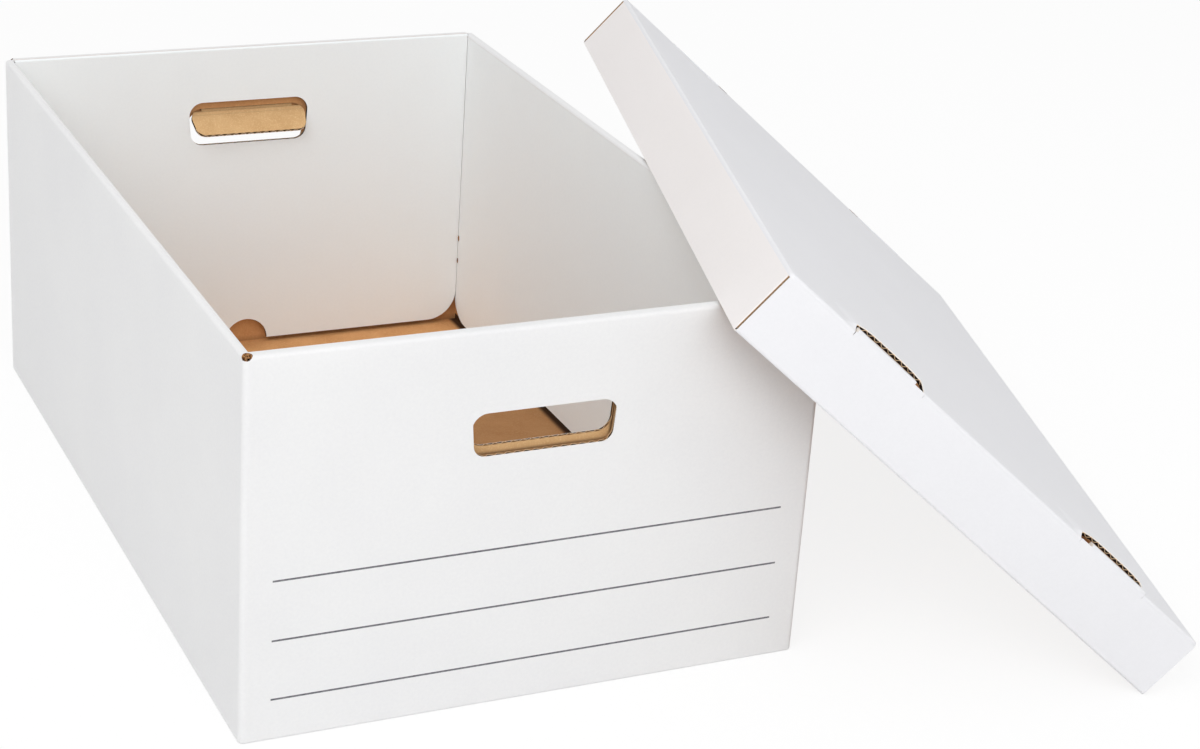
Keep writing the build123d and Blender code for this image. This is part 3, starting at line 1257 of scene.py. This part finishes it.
def makeTears():
    # small tears where the right inner panel has rubbed on the end panel
    depths = (tears["x"] + tears["sunk"], tears["x"] - tears["thick"])
    work = bmesh.new()
    for y, z, wide, tall in tears["spots"]:
        rings = [[(x, y + a * wide, z + b * tall) for a, b in tears["outline"]] for x in depths]
        addSlab(work, *rings)
    addTrim("paperTears", "box", work, ["torn"])


makeTears()

sill = {
    "half": 0.03215,
    "short": 0.0102,  # the tab leaves this much of its slot open at one end
    "thin": 0.00015,
    "deep": 0.0028,
    "foot": -0.00305,
    "top": 0.0002,
    "innerTop": -0.0001,
    "tornFrom": 0.00002,  # area of the larger tops, which show the torn middle
}


def makeSills():
    # a film of the outer layer in front of each lock tab, and its full thickness beside it
    work = bmesh.new()
    for end, hand in itertools.product((-1, 1), (-1, 1)):
        middle = hand * slots["centre"]
        low, high = middle - sill["half"], middle + sill["half"]
        shortLow = low if hand > 0 else high - sill["short"]
        spans = [
            (low, high, 0, sill["thin"], sill["top"]),
            (shortLow, shortLow + sill["short"], sill["thin"], sill["deep"], sill["innerTop"]),
        ]
        for left, right, near, far, top in spans:
            square = [(left, sill["foot"]), (right, sill["foot"]), (right, top), (left, top)]
            rings = []
            for depth in (near, far):
                y = end * (lid["length"] / 2 - depth)
                local = [Vector((x, y, z)) + lidCentre for x, z in square]
                rings.append([lidTurn.transposed() @ point for point in local])
            addSlab(work, *rings)

    def tornTop(face):
        return face.normal.dot(lidOut) > mostly and face.calc_area() > sill["tornFrom"]

    addTrim("slotSills", "lid", work, ["lidEndWhite", "torn"], tornTop)


makeSills()
print("pieces in all:", len(pieces))

# light, floor and camera

studio = {
    "world": 0.71,
    "keyPower": 31.0,
    "keyPlace": (-1.7, -1.6, 2.6),
    "keySize": 2.2,
    "lowPower": 19.0,
    "lowPlace": (-0.3, -3.0, 1.6),
    "lowSize": 1.8,
    "aim": (0.1, 0, 0.1),
    "floorPaper": "#F4F4F4",
    "floorGlow": 0.85,
    "floorHalf": 9,
}
plainWhite = (1, 1, 1, 1)


def seenStraight(tree):
    # 1 for the rays that show a surface to the camera, also through a mirror or glass
    path = addNode(tree, "ShaderNodeLightPath", {}, {})
    seen = path.outputs["Is Camera Ray"]
    for ray in ("Is Glossy Ray", "Is Transmission Ray"):
        seen = addNode(
            tree, "ShaderNodeMath", {"operation": "MAXIMUM"}, {0: seen, 1: path.outputs[ray]}
        ).outputs[0]
    return seen


def makeWorld():
    world = bpy.data.worlds.new("studio")
    scene.world = world
    world.use_nodes = True
    tree = world.node_tree
    tree.nodes.clear()
    light = addNode(
        tree, "ShaderNodeBackground", {}, {"Color": plainWhite, "Strength": studio["world"]}
    )
    white = addNode(tree, "ShaderNodeBackground", {}, {"Color": plainWhite, "Strength": 1.0})
    mix = addNode(
        tree,
        "ShaderNodeMixShader",
        {},
        {0: seenStraight(tree), 1: light.outputs[0], 2: white.outputs[0]},
    )
    addNode(tree, "ShaderNodeOutputWorld", {}, {"Surface": mix.outputs[0]})


def makeFloor():
    # a white paper sweep that almost glows, as a lit studio floor does
    material, tree = newMaterial("paperSweep.floor")
    share = addNode(
        tree,
        "ShaderNodeMath",
        {"operation": "MULTIPLY"},
        {0: seenStraight(tree), 1: studio["floorGlow"]},
    )
    plain = addNode(
        tree,
        "ShaderNodeBsdfDiffuse",
        {},
        {"Color": linear(studio["floorPaper"]), "Roughness": 1.0},
    )
    glow = addNode(tree, "ShaderNodeEmission", {}, {"Color": plainWhite, "Strength": 1.0})
    mix = addNode(
        tree,
        "ShaderNodeMixShader",
        {},
        {0: share.outputs[0], 1: plain.outputs[0], 2: glow.outputs[0]},
    )
    addNode(tree, "ShaderNodeOutputMaterial", {}, {"Surface": mix.outputs[0]})
    mesh = bpy.data.meshes.new("floor")
    half = studio["floorHalf"]
    corners = [(-half, -half, 0), (half, -half, 0), (half, half, 0), (-half, half, 0)]
    mesh.from_pydata(corners, [], [(0, 1, 2, 3)])
    mesh.materials.append(material)
    floor = bpy.data.objects.new("floor", mesh)
    scene.collection.objects.link(floor)


def makeLamp(name):
    place = Vector(studio[name + "Place"])
    lamp = bpy.data.lights.new(name, "AREA")
    lamp.shape = "SQUARE"
    lamp.size = studio[name + "Size"]
    lamp.energy = studio[name + "Power"]
    holder = bpy.data.objects.new(name, lamp)
    holder.location = place
    holder.rotation_euler = (Vector(studio["aim"]) - place).to_track_quat("-Z", "Y").to_euler()
    scene.collection.objects.link(holder)


camera = {
    "lens": 77.315,
    "sensor": 36.0,
    "near": 0.05,
    "place": (-0.61290, -1.61934, 0.84748),
    "right": (0.90702294, -0.41580376, 0.06645764),
    "up": (0.1084449, 0.38316863, 0.91729031),
}


def makeCamera():
    lens = bpy.data.cameras.new("camera")
    lens.sensor_fit = "HORIZONTAL"
    lens.sensor_width = camera["sensor"]
    lens.lens = camera["lens"]
    lens.clip_start = camera["near"]
    holder = bpy.data.objects.new("camera", lens)
    right, up = Vector(camera["right"]), Vector(camera["up"])
    turn = Matrix((right, up, right.cross(up))).transposed()
    holder.matrix_world = Matrix.Translation(camera["place"]) @ turn.to_4x4()
    scene.collection.objects.link(holder)
    scene.camera = holder


makeWorld()
makeFloor()
makeLamp("key")
makeLamp("low")
makeCamera()
scene.view_settings.view_transform = "Standard"
print("studio set")
